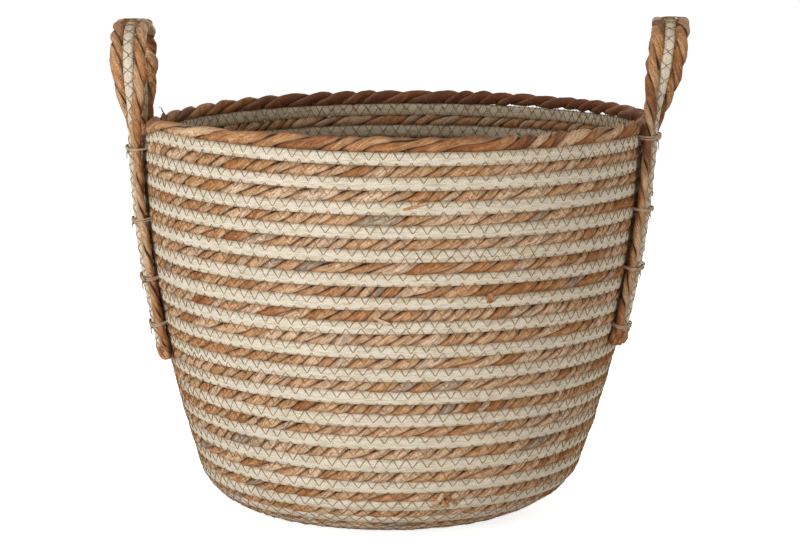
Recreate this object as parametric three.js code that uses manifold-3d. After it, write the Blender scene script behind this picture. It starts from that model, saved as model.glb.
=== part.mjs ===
// Coiled storage basket with two strap handles. Millimetres, +Z up, floor at z = 0, axis on Z.
// Two strands, a natural husk rope and a flat cream tape, lie side by side and wind together
// from the middle of the base to the rim, as a spiral with two starts.
import * as THREE from 'three';
import { mergeVertices } from 'three/addons/utils/BufferGeometryUtils.js';
import Module from 'manifold-3d';

const { PI, abs, atan2, ceil, cos, floor, max, min, round, sign, sin, sqrt } = Math;
const radians = THREE.MathUtils.degToRad;

// Strands of the wall
const rope_width = 9.5;
const rope_thickness = 8;
const tape_width = 8;
const tape_thickness = 6;
const strand_gap = 0.42;
const rim_swell = 2.6;
const rim_swell_turns = 0.12;

// Shares of a strand's width that its outer face takes to either side, and how far below the
// middle the rope is widest, as a share of its thickness
const rope_face_share = 0.3;
const tape_face_share = 0.42;
const rope_belly_share = 0.12;

// Wall outline, through the middle of the strands
const rim_radius = 196;
const rim_height = 316.5;
const foot_radius = 134.5;
const foot_round_width = 56.5;
const foot_round_height = 38.5;
const wall_bow = 1.93;

// The hand-wound body stands a little askew: how far its base and its rim lie to the left of the
// middle of the whole
const base_shift = 8.5;
const rim_shift = 3.5;

// Shares of the outline's parameter at which the flat base and the foot end
const base_share = 0.2;
const foot_share = 0.4;

// Spiral
const middle_hole = 1.1;
const spiral_end_azimuth = 180 + 15;
const steps_per_turn = 20;
const coarse_turns = 6;
const coarse_step = 2;

// Straps: outer rope, tape, inner rope, side by side
const strap_rope_width = 9.2;
const strap_rope_thickness = 9;
const strap_tape_width = 8.2;
const strap_tape_thickness = 7;
const strap_gap = 0.35;
const strap_rope_sides = 8;
const strap_step = 12;
const line_divisions = 600;
const leg_azimuth = 14.3;
const leg_lift_at_rim = 3.2;
const leg_lift_at_end = 0.8;
const arch_spring = 14;
const arch_squareness = 3;
const leg_share = 0.55;
const twist_length = 113;
const lean_start = 20;

// Ties of twine that sew the straps on
const twine_diameter = 2.2;
const twine_sides = 5;
const tie_corner = 2.2;
const clearance = 0.32;

// Length within which a place on a line is searched for
const precision = 0.001;

// Left and right handle: how far the crest leans out past the rim, how high it stands over it,
// how far the legs reach below it, and the places of the ties as shares of that
const left_lean = 9.5;
const left_arch_height = 66.5;
const left_leg_drop = 189;
const left_tie_shares = [0.13, 0.42, 0.66, 0.865];
const right_lean = 17;
const right_arch_height = 69.5;
const right_leg_drop = 173.5;
const right_tie_shares = [0.095, 0.412, 0.669, 0.902];

// Each handle, with its side of the basket and its turn towards the front in degrees
const handles = [
  {
    name: 'left',
    side: -1,
    turn: 0,
    lean: left_lean,
    arch_height: left_arch_height,
    leg_drop: left_leg_drop,
    tie_shares: left_tie_shares,
  },
  {
    name: 'right',
    side: 1,
    turn: 5,
    lean: right_lean,
    arch_height: right_arch_height,
    leg_drop: right_leg_drop,
    tie_shares: right_tie_shares,
  },
];

const natural = new THREE.MeshStandardMaterial({ color: 0xb98a5a, roughness: 0.75, metalness: 0 });
const cream = new THREE.MeshStandardMaterial({ color: 0xe6dcc6, roughness: 0.85, metalness: 0 });
const twine = new THREE.MeshStandardMaterial({ color: 0xa8927c, roughness: 0.9, metalness: 0 });

// The line through the strands, from the middle of the base to the rim: x is the radius, y the
// height. A flat base, an elliptic foot and a bowed wall follow one another.
class WallLine extends THREE.Curve {
  getPoint(t, target = new THREE.Vector2()) {
    const bottom = rope_thickness / 2;
    const flat = foot_radius - foot_round_width;
    if (t < base_share) return target.set(flat * t / base_share, bottom);
    let rise;
    let pull_in = 0;
    if (t < foot_share) {
      const turn = PI / 2 * (t - base_share) / (foot_share - base_share);
      rise = foot_round_height * (1 - cos(turn));
      pull_in = foot_round_width * (1 - sin(turn));
    } else {
      const wall = rim_height - bottom - foot_round_height;
      rise = foot_round_height + wall * (t - foot_share) / (1 - foot_share);
    }
    const left = 1 - rise / (rim_height - bottom);
    const bowed = foot_radius + (rim_radius - foot_radius) * (1 - left ** wall_bow);
    return target.set(bowed - pull_in, bottom + rise);
  }
}
const wall_line = new WallLine();
wall_line.arcLengthDivisions = 2 * line_divisions;
const wall_length = wall_line.getLength();

// Point, outward normal and upward tangent at a length along the wall line
function wallFrame(along) {
  const on_line = min(1, max(0, along / wall_length));
  const point = wall_line.getPointAt(on_line);
  const up = wall_line.getTangentAt(on_line);
  const past = along - on_line * wall_length;
  point.addScaledVector(up, past);
  return { point, up, out: new THREE.Vector2(up.y, -up.x) };
}

// A place in space: length along the wall line, distance outwards from it, azimuth in degrees
function wallPlace(along, out, azimuth) {
  const frame = wallFrame(along);
  const place = frame.point.clone().addScaledVector(frame.out, out);
  const angle = radians(azimuth);
  return new THREE.Vector3(place.x * cos(angle), place.x * sin(angle), place.y);
}

// Length along the wall line at which it reaches a height
function wallLengthAtHeight(height) {
  let low = 0;
  let high = wall_length;
  while (high - low > precision) {
    const middle = (low + high) / 2;
    if (wallFrame(middle).point.y < height) low = middle;
    else high = middle;
  }
  return low;
}

// The two strands climb one pitch in a turn, clockwise seen from above
const pitch = rope_width + tape_width + 2 * strand_gap;
const first_length = middle_hole + rope_width / 2;
const spiral_steps = floor((wall_length - first_length) / pitch * steps_per_turn);

// Length along the wall line of the rope's middle after a number of steps from its end
function ropeLength(steps_from_end) {
  return wall_length - pitch * steps_from_end / steps_per_turn;
}

// Closed surface from rings of points, with caps on an open row of rings and faces outwards
function solidFromRings(rings, closed = false) {
  const sides = rings[0].length;
  const positions = rings.flat().flatMap((point) => [point.x, point.y, point.z]);
  const faces = [];
  const count = closed ? rings.length : rings.length - 1;
  for (let ring = 0; ring < count; ring += 1) {
    const here = ring * sides;
    const next = ((ring + 1) % rings.length) * sides;
    for (let side = 0; side < sides; side += 1) {
      const other = (side + 1) % sides;
      faces.push([here + side, next + side, next + other], [here + side, next + other, here + other]);
    }
  }
  if (!closed) {
    const last = (rings.length - 1) * sides;
    for (let side = 1; side < sides - 1; side += 1) {
      faces.push([0, side, side + 1], [last, last + side + 1, last + side]);
    }
  }
  const geometry = new THREE.BufferGeometry();
  geometry.setAttribute('position', new THREE.Float32BufferAttribute(positions, 3));
  const inside_out = signedVolume(positions, faces) < 0;
  geometry.setIndex(faces.flatMap(([a, b, c]) => (inside_out ? [a, c, b] : [a, b, c])));
  return geometry;
}

function signedVolume(positions, faces) {
  const corner = (index) => new THREE.Vector3().fromArray(positions, index * 3);
  const volume = ([a, b, c]) => corner(a).dot(corner(b).cross(corner(c))) / 6;
  return faces.reduce((sum, face) => sum + volume(face), 0);
}

// Least distance between points of a strand that lie half a turn or more apart along it. The
// points are the corners of its rings and the middles of the edges between them.
function leastGap(geometry, sides) {
  const corners = geometry.attributes.position;
  const points = [];
  for (let index = 0; index < corners.count; index += 1) {
    const corner = new THREE.Vector3().fromBufferAttribute(corners, index);
    const next = index + sides < corners.count ? index + sides : index;
    points.push(corner, new THREE.Vector3().fromBufferAttribute(corners, next).lerp(corner, 0.5));
  }
  const apart = 2 * sides * steps_per_turn / 2 / coarse_step;
  let least = Infinity;
  points.forEach((point, first) => {
    for (let second = first + apart; second < points.length; second += 1) {
      least = min(least, point.distanceToSquared(points[second]));
    }
  });
  return sqrt(least).toFixed(2);
}

// Sections, as pairs of across and outward distances. The rope is flat outside, so that the
// base stands on it; the tape narrows a little towards its outer face.
function ropeSection(width, thickness, swell) {
  const face = rope_face_share * width;
  const belly = -rope_belly_share * thickness;
  return [
    [-face, thickness / 2],
    [face + swell, thickness / 2],
    [width / 2 + swell, belly],
    [0, -thickness / 2],
    [-width / 2, belly],
  ];
}

function tapeSection(width, thickness) {
  const face = tape_face_share * width;
  return [
    [-face, thickness / 2],
    [face, thickness / 2],
    [width / 2, -thickness / 2],
    [-width / 2, -thickness / 2],
  ];
}

// Stations of the spiral, as steps from its end. They are closer together outside the first
// turns, and lie at the same azimuths in every turn, so that the turns keep their gap.
function spiralStations(last_step) {
  const fine_steps = spiral_steps - coarse_turns * steps_per_turn;
  const stations = [];
  for (let step = 0; step <= fine_steps; step += 1) stations.push(step);
  for (let step = fine_steps + coarse_step; step < last_step; step += coarse_step) stations.push(step);
  stations.push(last_step);
  return stations;
}

function stationAzimuth(step) {
  return spiral_end_azimuth + step * 360 / steps_per_turn;
}

// One strand of the spiral: its rings lie in the planes through the axis
function spiralStrand(last_step, offset, sectionAt) {
  const rings = spiralStations(last_step).map((step) => {
    const middle = ropeLength(step) + offset;
    return sectionAt(step).map(([across, out]) => wallPlace(middle + across, out, stationAzimuth(step)));
  });
  return solidFromRings(rings);
}

// The rim rope, which no other row holds down, is fatter than the rest
function rimSwell(step) {
  const turns = step / steps_per_turn;
  const fade = min(1, max(0, (1 - turns) / rim_swell_turns));
  return rim_swell * fade;
}

// Both strands start at the same radius, on opposite sides of the middle
const ropeRing = (step) => ropeSection(rope_width, rope_thickness, rimSwell(step));
const tapeRing = () => tapeSection(tape_width, tape_thickness);
const rope_strand = spiralStrand(spiral_steps, 0, ropeRing);
const tape_strand = spiralStrand(spiral_steps - steps_per_turn / 2, -pitch / 2, tapeRing);
console.log(`turns of each strand: ${(spiral_steps / steps_per_turn).toFixed(2)}`);
console.log(`least gap of the rope to itself: ${leastGap(rope_strand, ropeRing(0).length)} mm`);
console.log(`least gap of the tape to itself: ${leastGap(tape_strand, tapeRing().length)} mm`);

// The middle line of a strap, in a frame whose +X points out through the handle. It climbs the
// wall on the front leg, goes over the arch and down the back leg.
class StrapLine extends THREE.Curve {
  constructor(handle) {
    super();
    this.handle = handle;
    this.leg_end = rim_height - handle.leg_drop;
    this.crest_reach = rim_radius + handle.lean;
    this.arch_height = handle.arch_height;
    this.arcLengthDivisions = line_divisions;
  }

  getPoint(t, target = new THREE.Vector3()) {
    const from_crest = abs(t - 0.5) * 2;
    const way = sign(t - 0.5) || 1;
    const spring_height = rim_height + arch_spring;
    let height;
    let spread;
    if (from_crest > 1 - leg_share) {
      const down = (from_crest - (1 - leg_share)) / leg_share;
      height = spring_height + (this.leg_end - spring_height) * down;
      spread = 1;
    } else {
      const angle = PI / 2 * from_crest / (1 - leg_share);
      const power = 2 / arch_squareness;
      height = spring_height + (this.arch_height - arch_spring) * cos(angle) ** power;
      spread = sin(angle) ** power;
    }
    const reach = this.reachAt(min(height, rim_height));
    const angle = radians(leg_azimuth);
    const near = reach * cos(angle);
    const leaning = max(0, (height - rim_height + lean_start) / (this.arch_height + lean_start));
    const ease = leaning * leaning * (3 - 2 * leaning);
    const x = near + (this.crest_reach - near) * ease;
    return target.set(x, way * spread * reach * sin(angle), height);
  }

  // Distance of the strap's middle from the axis where the leg lies on the wall
  reachAt(height) {
    const frame = wallFrame(wallLengthAtHeight(height));
    const up_the_leg = (height - this.leg_end) / this.handle.leg_drop;
    const lift = leg_lift_at_end + (leg_lift_at_rim - leg_lift_at_end) * up_the_leg;
    return frame.point.x + rope_thickness / 2 + strap_rope_thickness / 2 + lift;
  }

  // Across the strap, from the inner to the outer rope, it points outwards over the arch and
  // turns along the wall on the legs
  frameAt(u) {
    const length = this.getLength();
    const point = this.getPointAt(u);
    const tangent = this.getTangentAt(u);
    const from_crest = abs(u - 0.5) * length;
    const way = sign(u - 0.5);
    const turned = min(1, from_crest / twist_length) * radians(90 - leg_azimuth);
    const across = new THREE.Vector3(cos(turned), -way * sin(turned), 0);
    across.addScaledVector(tangent, -across.dot(tangent)).normalize();
    const out = new THREE.Vector3().crossVectors(across, tangent).negate();
    return { point, tangent, across, out };
  }
}

// Places a point of the handle's own frame on the basket
function onBasket(point, handle) {
  const turn = radians(-handle.turn);
  const x = point.x * cos(turn) - point.y * sin(turn);
  const y = point.x * sin(turn) + point.y * cos(turn);
  return new THREE.Vector3(handle.side * x, y, point.z);
}

// One strand of a strap, at an offset across it
function strapStrand(line, offset, section) {
  const steps = round(line.getLength() / strap_step / 2) * 2;
  const rings = [];
  for (let step = 0; step <= steps; step += 1) {
    const frame = line.frameAt(step / steps);
    rings.push(section.map(([across, out]) => {
      const place = frame.point.clone().addScaledVector(frame.across, offset + across);
      return onBasket(place.addScaledVector(frame.out, out), line.handle);
    }));
  }
  return solidFromRings(rings);
}

function roundSection(width, thickness, sides) {
  const corners = [];
  for (let side = 0; side < sides; side += 1) {
    const angle = 2 * PI * (side + 0.5) / sides;
    const grow = 1 / cos(PI / sides);
    corners.push([width / 2 * grow * cos(angle), thickness / 2 * grow * sin(angle)]);
  }
  return corners;
}

const strap_rope_offset = strap_tape_width / 2 + strap_gap + strap_rope_width / 2;
const strap_width = 2 * strap_rope_offset + strap_rope_width;
const strap_rope_section = roundSection(strap_rope_width, strap_rope_thickness, strap_rope_sides);
const strap_tape_section = tapeSection(strap_tape_width, strap_tape_thickness);

// Length along the wall line of the joint between two rows that lies nearest a height
function jointLength(height, azimuth) {
  const steps_ahead = (((azimuth - spiral_end_azimuth) % 360) + 360) % 360 * steps_per_turn / 360;
  const wanted = wallLengthAtHeight(height);
  const top = ropeLength(steps_ahead);
  const half = (rope_width + strand_gap) / 2;
  const turns = (top - wanted) / pitch;
  const joints = [floor(turns), ceil(turns)].flatMap((turn) => [
    top - turn * pitch - half,
    top - turn * pitch + half,
  ]);
  return joints.reduce((best, joint) => (abs(joint - wanted) < abs(best - wanted) ? joint : best));
}

// A tie goes round the strap and through the wall, between two rows on each side of the strap
function tieFrame(line, way, height) {
  const { handle } = line;
  const leg = onBasket(new THREE.Vector3(1, way * Math.tan(radians(leg_azimuth)), 0), handle);
  const azimuth = THREE.MathUtils.radToDeg(atan2(leg.y, leg.x));
  const along = jointLength(height, azimuth);
  const wall = wallFrame(along);
  const angle = radians(azimuth);
  const outwards = new THREE.Vector3(cos(angle), sin(angle), 0);
  const middle = wallPlace(along, 0, azimuth);
  const out = outwards.clone().multiplyScalar(wall.out.x).setZ(wall.out.y);
  const up = outwards.clone().multiplyScalar(wall.up.x).setZ(wall.up.y);
  const across = new THREE.Vector3().crossVectors(up, out);
  return { middle, out, up, across, strap: strapDistance(line, way, middle, out, up) };
}

// Distance of the strap's middle from the wall line, out along the normal of a tie
function strapDistance(line, way, middle, out, up) {
  let low = 0;
  let high = 0.5;
  while (high - low > precision / wall_length) {
    const u = (low + high) / 2;
    const place = onBasket(line.getPointAt(0.5 + way * (0.5 - u)), line.handle);
    if (place.sub(middle).dot(up) < 0) low = u;
    else high = u;
  }
  const place = onBasket(line.getPointAt(0.5 + way * (0.5 - low)), line.handle);
  return place.sub(middle).dot(out);
}

function tieSolid(frame) {
  const radius = twine_diameter / 2;
  const half_width = strap_width / 2 + clearance + radius;
  const top = frame.strap + strap_rope_thickness / 2 + clearance + radius;
  const facet_depth = rim_radius * (1 - cos(PI / steps_per_turn));
  const bottom = -(rope_thickness / 2 + facet_depth + clearance + radius);
  const corners = [[half_width, top], [-half_width, top], [-half_width, bottom], [half_width, bottom]];
  const rings = [];
  corners.forEach(([x, y], index) => {
    const inwards = [x - sign(x) * tie_corner, y - (y === top ? 1 : -1) * tie_corner];
    [22.5, 67.5].forEach((turn) => {
      const angle = radians(index * 90 + turn);
      const reach = new THREE.Vector2(cos(angle), sin(angle));
      const ring = [];
      for (let side = 0; side < twine_sides; side += 1) {
        const around = 2 * PI * side / twine_sides;
        const arm = tie_corner + radius * cos(around);
        ring.push(frame.middle.clone()
          .addScaledVector(frame.across, inwards[0] + reach.x * arm)
          .addScaledVector(frame.out, inwards[1] + reach.y * arm)
          .addScaledVector(frame.up, radius * sin(around)));
      }
      rings.push(ring);
    });
  });
  return solidFromRings(rings, true);
}

// The holes that a tie's two passes need in the strands of the wall
function tieHoles(frame) {
  const width = twine_diameter + 2 * clearance;
  const half_width = strap_width / 2 + clearance + twine_diameter / 2;
  const depth = rope_thickness * 2;
  return [-1, 1].map((way) => {
    const hole = new THREE.BoxGeometry(width, width, depth);
    const place = frame.middle.clone().addScaledVector(frame.across, way * half_width);
    const matrix = new THREE.Matrix4().makeBasis(frame.across, frame.up, frame.out).setPosition(place);
    if (matrix.determinant() < 0) {
      matrix.makeBasis(frame.across.clone().negate(), frame.up, frame.out).setPosition(place);
    }
    return hole.applyMatrix4(matrix);
  });
}

// Solids for cutting
const wasm = await Module();
wasm.setup();

function toManifold(geometry) {
  const bare = geometry.clone();
  bare.deleteAttribute('normal');
  bare.deleteAttribute('uv');
  const merged = mergeVertices(bare);
  return new wasm.Manifold(new wasm.Mesh({
    numProp: 3,
    vertProperties: new Float32Array(merged.attributes.position.array),
    triVerts: new Uint32Array(merged.index.array),
  }));
}

function toGeometry(solid) {
  const mesh = solid.getMesh();
  const geometry = new THREE.BufferGeometry();
  geometry.setAttribute('position', new THREE.BufferAttribute(new Float32Array(mesh.vertProperties), 3));
  geometry.setIndex(new THREE.BufferAttribute(new Uint32Array(mesh.triVerts), 1));
  return geometry;
}

const basket = new THREE.Group();
const askew = new THREE.Matrix4().makeShear(0, 0, 0, 0, (base_shift - rim_shift) / rim_height, 0);
askew.setPosition(-base_shift, 0, 0);

function addPiece(name, geometry, material) {
  geometry.applyMatrix4(askew);
  geometry.computeVertexNormals();
  const mesh = new THREE.Mesh(geometry, material);
  mesh.name = name;
  basket.add(mesh);
}

const holes = [];
handles.forEach((handle) => {
  const line = new StrapLine(handle);
  addPiece(`${handle.name}_handle_outer_rope`,
    strapStrand(line, strap_rope_offset, strap_rope_section), natural);
  addPiece(`${handle.name}_handle_tape`, strapStrand(line, 0, strap_tape_section), cream);
  addPiece(`${handle.name}_handle_inner_rope`,
    strapStrand(line, -strap_rope_offset, strap_rope_section), natural);
  [['front', -1], ['back', 1]].forEach(([leg, way]) => {
    handle.tie_shares.forEach((share, index) => {
      const frame = tieFrame(line, way, rim_height - share * handle.leg_drop);
      addPiece(`${handle.name}_${leg}_tie_${index + 1}`, tieSolid(frame), twine);
      holes.push(...tieHoles(frame));
    });
  });
});

const all_holes = wasm.Manifold.compose(holes.map(toManifold));
addPiece('natural_rope', toGeometry(toManifold(rope_strand).subtract(all_holes)), natural);
addPiece('cream_tape', toGeometry(toManifold(tape_strand).subtract(all_holes)), cream);

export default basket;
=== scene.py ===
import math

import bpy
import numpy as np
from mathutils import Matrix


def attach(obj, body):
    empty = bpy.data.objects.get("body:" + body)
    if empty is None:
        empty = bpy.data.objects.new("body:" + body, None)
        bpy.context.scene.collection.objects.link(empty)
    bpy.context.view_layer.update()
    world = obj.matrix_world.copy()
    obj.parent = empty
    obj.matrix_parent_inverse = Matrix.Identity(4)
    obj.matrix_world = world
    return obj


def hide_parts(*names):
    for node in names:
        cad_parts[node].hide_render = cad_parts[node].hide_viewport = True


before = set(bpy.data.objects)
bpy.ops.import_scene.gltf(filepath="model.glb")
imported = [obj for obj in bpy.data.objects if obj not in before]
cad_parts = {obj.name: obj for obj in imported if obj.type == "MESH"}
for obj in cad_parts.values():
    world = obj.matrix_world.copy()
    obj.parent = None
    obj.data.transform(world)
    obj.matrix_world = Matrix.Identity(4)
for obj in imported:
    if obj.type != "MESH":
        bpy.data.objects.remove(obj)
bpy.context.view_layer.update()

mm = 0.001
pi = math.pi

# Strands of the wall
rope_width = 9.5 * mm
rope_thickness = 8 * mm
tape_width = 8 * mm
tape_thickness = 6.4 * mm
strand_gap = 0.42 * mm
pitch = rope_width + tape_width + 2 * strand_gap
rim_swell = 2.4 * mm
rim_swell_turns = 0.12
rim_swell_start = 80 * mm
rim_swell_full = 190 * mm

# Wall outline, through the middle of the strands
rim_radius = 196 * mm
rim_height = 316.5 * mm
foot_radius = 134.5 * mm
foot_round_width = 56.5 * mm
foot_round_height = 38.5 * mm
wall_bow = 1.93
base_share = 0.2
foot_share = 0.4

# The hand-wound body stands a little askew: how far its base and its rim lie to the left
base_shift = 8.5 * mm
rim_shift = 3.5 * mm
left_foot_bulge = 6 * mm

# The strands are pressed flat by the floor, and the thread under them touches it
floor_clearance = 0.3 * mm

# Spiral: where it ends on the rim, where it starts in the middle, and how the rows climb less
# at the front and back than at the sides
spiral_end_azimuth = math.radians(195)
middle_hole = 1.1 * mm
inner_curl = 0.28
front_azimuth = math.radians(270)
row_swing = 0.6

# How far rows sink by the spiral's end, at depths below the rim: close beside it and further off
fold_reach = math.radians(12)
fold_depths = [-6 * mm, 5 * mm, 13.5 * mm, 23 * mm, 60 * mm]
fold_sinks = [4.5 * mm, 7.5 * mm, 3 * mm, 1.5 * mm, 0]
fold_far_reach = math.radians(45)
fold_far_depths = [5 * mm, 15 * mm, 35 * mm]
fold_far_sinks = [1.3 * mm, 1.3 * mm, 0]

# The winding is uneven: the rows lie higher in the middle of the front and lower near the foot
front_middle = math.radians(276)
front_lift = 1.9 * mm
front_lift_below = 115 * mm
front_lift_reach = 55 * mm
front_lift_spread = math.radians(75)
foot_drop = 2.6 * mm
foot_drop_below = 265 * mm
foot_drop_reach = 22 * mm
foot_drop_spread = math.radians(120)

# The strands are thinner on the base, from here inwards, and the tape wider at the foot
base_until = 60 * mm
foot_until = 210 * mm
press_reach = 60 * mm

# The rim rope and the first tape gape a little at the back, at this many turns from the end
loose_turns = 0.58
loose_reach = 0.07

# Straps
strap_rope_width = 9.2 * mm
strap_rope_thickness = 9 * mm
strap_tape_width = 8.2 * mm
strap_tape_thickness = 5.6 * mm
strap_tape_power = 3
strap_gap = 0.35 * mm
strap_rope_offset = strap_tape_width / 2 + strap_gap + strap_rope_width / 2
leg_azimuth = math.radians(14.3)
leg_lift_at_rim = 3.2 * mm
leg_lift_at_end = 0.8 * mm
arch_spring = 14 * mm
arch_squareness = 3
leg_share = 0.55
twist_start = 45 * mm
twist_end = 117 * mm
lean_start = 20 * mm
handles = [
    {"name": "left", "side": -1, "turn": 0, "lean": 10.5 * mm, "arch_height": 66.5 * mm,
     "end_flare": -0.24, "leg_drop": 189 * mm, "tie_shares": [0.13, 0.42, 0.66, 0.865]},
    {"name": "right", "side": 1, "turn": math.radians(5), "lean": 17 * mm, "arch_height": 69.5 * mm,
     "end_flare": 0.3, "leg_drop": 173.5 * mm, "tie_shares": [0.095, 0.412, 0.669, 0.902]},
]

# Tones of the husk: a few lobes are grey, the rim and the straps are browner than the wall, and the rim is
# darker still away from its outer face, as painted shade
grey_tone = 1.6
grey_chance = 0.94
rim_browner = 0.85
rim_inside_shade = 1.1
strap_browner = 0.75
wrap_tone = -1.2

# Steps along the strands, and the most points of one piece
rope_step = 2 * mm
tape_step = 2.2 * mm
strap_step = 1.8 * mm
most_points = 90000


# Arrays
def smoothstep(value):
    value = np.clip(value, 0, 1)
    return value * value * (3 - 2 * value)


def bell(distance, reach):
    """1 at no distance, and less to both sides"""
    return np.exp(-(distance / reach) ** 2)


def unit(vectors):
    """Directions of length 1; one that has no length stays so, as under the base"""
    return vectors / (np.linalg.norm(vectors, axis=-1, keepdims=True) + 1e-12)


def together(*parts):
    """One array with the parts along its last axis"""
    return np.stack(np.broadcast_arrays(*parts), axis=-1)


def running_sum(steps):
    return np.concatenate([[0], np.cumsum(steps)])


def spaced(total, step):
    """Even places from 0 to a total, about a step apart"""
    return np.linspace(0, total, round(total / step) + 1)


def ring_angles(sides):
    return 2 * pi * np.arange(sides) / sides


def turned_from(azimuth, start):
    """Angle from one azimuth to another, from minus to plus half a turn"""
    return np.mod(azimuth - start + pi, 2 * pi) - pi


# Noise and random values, the same at every run
table_size = 4096


def random_table(seed):
    return np.random.default_rng(seed).uniform(-1, 1, table_size)


def scatter(seed, count):
    """A random value from -1 to 1 for each of a row of things"""
    return random_table(seed)[np.arange(count) % table_size]


def wander(place, wavelength, seed):
    """Smooth values from -1 to 1 along a line"""
    table = random_table(seed)
    turns = place / wavelength
    below = np.floor(turns).astype(int)
    share = turns - below
    ease = share * share * (3 - 2 * share)
    first = table[below % table_size]
    second = table[(below + 1) % table_size]
    return first + (second - first) * ease


def of_lobe(ply, visit, seed):
    """A value from -1 to 1 for each lobe: one ply's stretch on one face of a rope"""
    return random_table(seed)[(visit * 2 + ply + 7) % table_size]


# The line through the strands from the middle of the base to the rim
def outline():
    share = np.linspace(0, 1, 6001)
    bottom = rope_thickness / 2
    flat = foot_radius - foot_round_width
    turn = pi / 2 * np.clip((share - base_share) / (foot_share - base_share), 0, 1)
    on_wall = np.clip((share - foot_share) / (1 - foot_share), 0, 1)
    wall = rim_height - bottom - foot_round_height
    rise = foot_round_height * (1 - np.cos(turn)) + wall * on_wall
    left = 1 - rise / (rim_height - bottom)
    bowed = foot_radius + (rim_radius - foot_radius) * (1 - left ** wall_bow)
    radius = bowed - foot_round_width * (1 - np.sin(turn))
    radius = np.where(share < base_share, flat * share / base_share, radius)
    height = bottom + rise
    length = running_sum(np.hypot(np.diff(radius), np.diff(height)))
    tilt = np.arctan2(np.gradient(height, length), np.gradient(radius, length))
    return radius, height, length, tilt


line_radius, line_height, line_length, line_tilt = outline()
wall_length = line_length[-1]
base_start = int(np.argmax(line_length > foot_radius - foot_round_width)) + 1


def wall_section(along, out):
    """Radius and height at a length along the wall line and a distance outwards from it"""
    on_line = np.clip(along, 0, wall_length)
    tilt = np.interp(on_line, line_length, line_tilt)
    past = along - on_line
    radius = np.interp(on_line, line_length, line_radius) + past * np.cos(tilt) + out * np.sin(tilt)
    height = np.interp(on_line, line_length, line_height) + past * np.sin(tilt) - out * np.cos(tilt)
    return radius, height


def askew(points):
    """Moves points of an upright basket to where they are on the one that leans"""
    shift = (base_shift - rim_shift) / rim_height * points[..., 2] - base_shift
    low = smoothstep(1 - points[..., 2] / (50 * mm))
    shift = shift - left_foot_bulge * low * smoothstep(-points[..., 0] / (100 * mm))
    return points + shift[..., None] * np.array([1, 0, 0])


def slump(along, azimuth):
    """How far rows sink: the last one where the rope's folded end is pulled down on the tape, and
    others where they are wound unevenly"""
    below = wall_length - along
    past_end = turned_from(azimuth, spiral_end_azimuth)
    near = smoothstep(1 - np.where(past_end > 0, past_end, -1.2 * past_end) / fold_reach)
    far = smoothstep(1 - np.abs(past_end) / fold_far_reach)
    sunk = near * np.interp(below, fold_depths, fold_sinks)
    sunk = sunk + far * np.interp(below, fold_far_depths, fold_far_sinks)
    past_front = np.abs(turned_from(azimuth, front_middle))
    lifted = front_lift * bell(below - front_lift_below, front_lift_reach)
    lifted = lifted * smoothstep(1 - past_front / front_lift_spread)
    dropped = foot_drop * bell(below - foot_drop_below, foot_drop_reach)
    return sunk - lifted + dropped * smoothstep(1 - past_front / foot_drop_spread)


def wall_place(along, out, azimuth):
    """Point at a length along the wall line, a distance outwards from it and an azimuth"""
    radius, height = wall_section(along - slump(along, azimuth), out)
    height = np.maximum(height, floor_clearance)
    return askew(together(radius * np.cos(azimuth), radius * np.sin(azimuth), height))


# The spiral, by turns from its end on the rim
first_length = middle_hole + rope_width / 2
spiral_turns = math.floor((wall_length - first_length) / pitch * 20) / 20
rim_turn_length = 2 * pi * rim_radius


def row_azimuth(turns):
    return spiral_end_azimuth + 2 * pi * turns


def rope_along(turns):
    """Length along the wall line of the rope's middle"""
    past_front = row_azimuth(turns) - front_azimuth
    fade = smoothstep(turns / 0.5) * smoothstep((spiral_turns - 6 - turns) / 4)
    swing = row_swing * fade * np.sin(2 * past_front) / (4 * pi)
    return wall_length - pitch * (turns - swing) + 0.2 * mm * fade * wander(turns, 0.11, 71)


def tape_along(turns):
    return rope_along(turns) - pitch / 2


def off_base(along):
    """0 on the base, 1 from the foot up"""
    return smoothstep((along - base_until) / press_reach)


def tape_gain(turns, along):
    """How much wider each half of the tape is, and each half of the rope narrower"""
    azimuth = row_azimuth(turns)
    uneven = np.sin(3 * azimuth + along / (37 * mm)) + np.sin(2 * azimuth - along / (23 * mm) + 2)
    low = smoothstep((foot_until - along) / press_reach)
    return 0.5 * mm + 0.2 * mm * uneven + 0.4 * mm * low


def on_rim(turns):
    """1 along the rim, 0 soon after its one turn"""
    return smoothstep((1 + rim_swell_turns - turns) / rim_swell_turns)


def loose_joint(turns):
    """1 where the rim rope and the first tape gape, 0 elsewhere"""
    return smoothstep(2 - 2 * np.abs(turns - loose_turns) / loose_reach)


class WallRows:
    """Lengths along the two strands, as functions of the turns from the end"""

    def __init__(self):
        self.turns = np.linspace(0, spiral_turns + inner_curl, 12001)
        radius, _ = wall_section(rope_along(self.turns), 0)
        self.length = running_sum(2 * pi * (radius[1:] + radius[:-1]) / 2 * np.diff(self.turns))

    def length_at(self, turns):
        return np.interp(turns, self.turns, self.length)

    def turns_at(self, length):
        return np.interp(length, self.length, self.turns)


rows = WallRows()


# Two-ply rope. Its columns follow the twist, and are closest at the creases between the plies.
half_ply = np.array([0, 0.07, 0.17, 0.3, 0.47, 0.68, 0.92, 1.22])
ply_columns = np.concatenate([half_ply, [pi / 2], pi - half_ply[:0:-1]])
rope_columns = np.concatenate([ply_columns, ply_columns + pi])
rope_ply = np.repeat([0, 1], len(ply_columns))


longest_rope = 25


def leaf_edge(past):
    """A ridge that rises at once and falls off slowly, as a husk leaf's edge on the next leaf"""
    return np.exp(-np.clip(past, 0, None) / 0.45) * smoothstep((past + 0.14) / 0.16)


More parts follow.
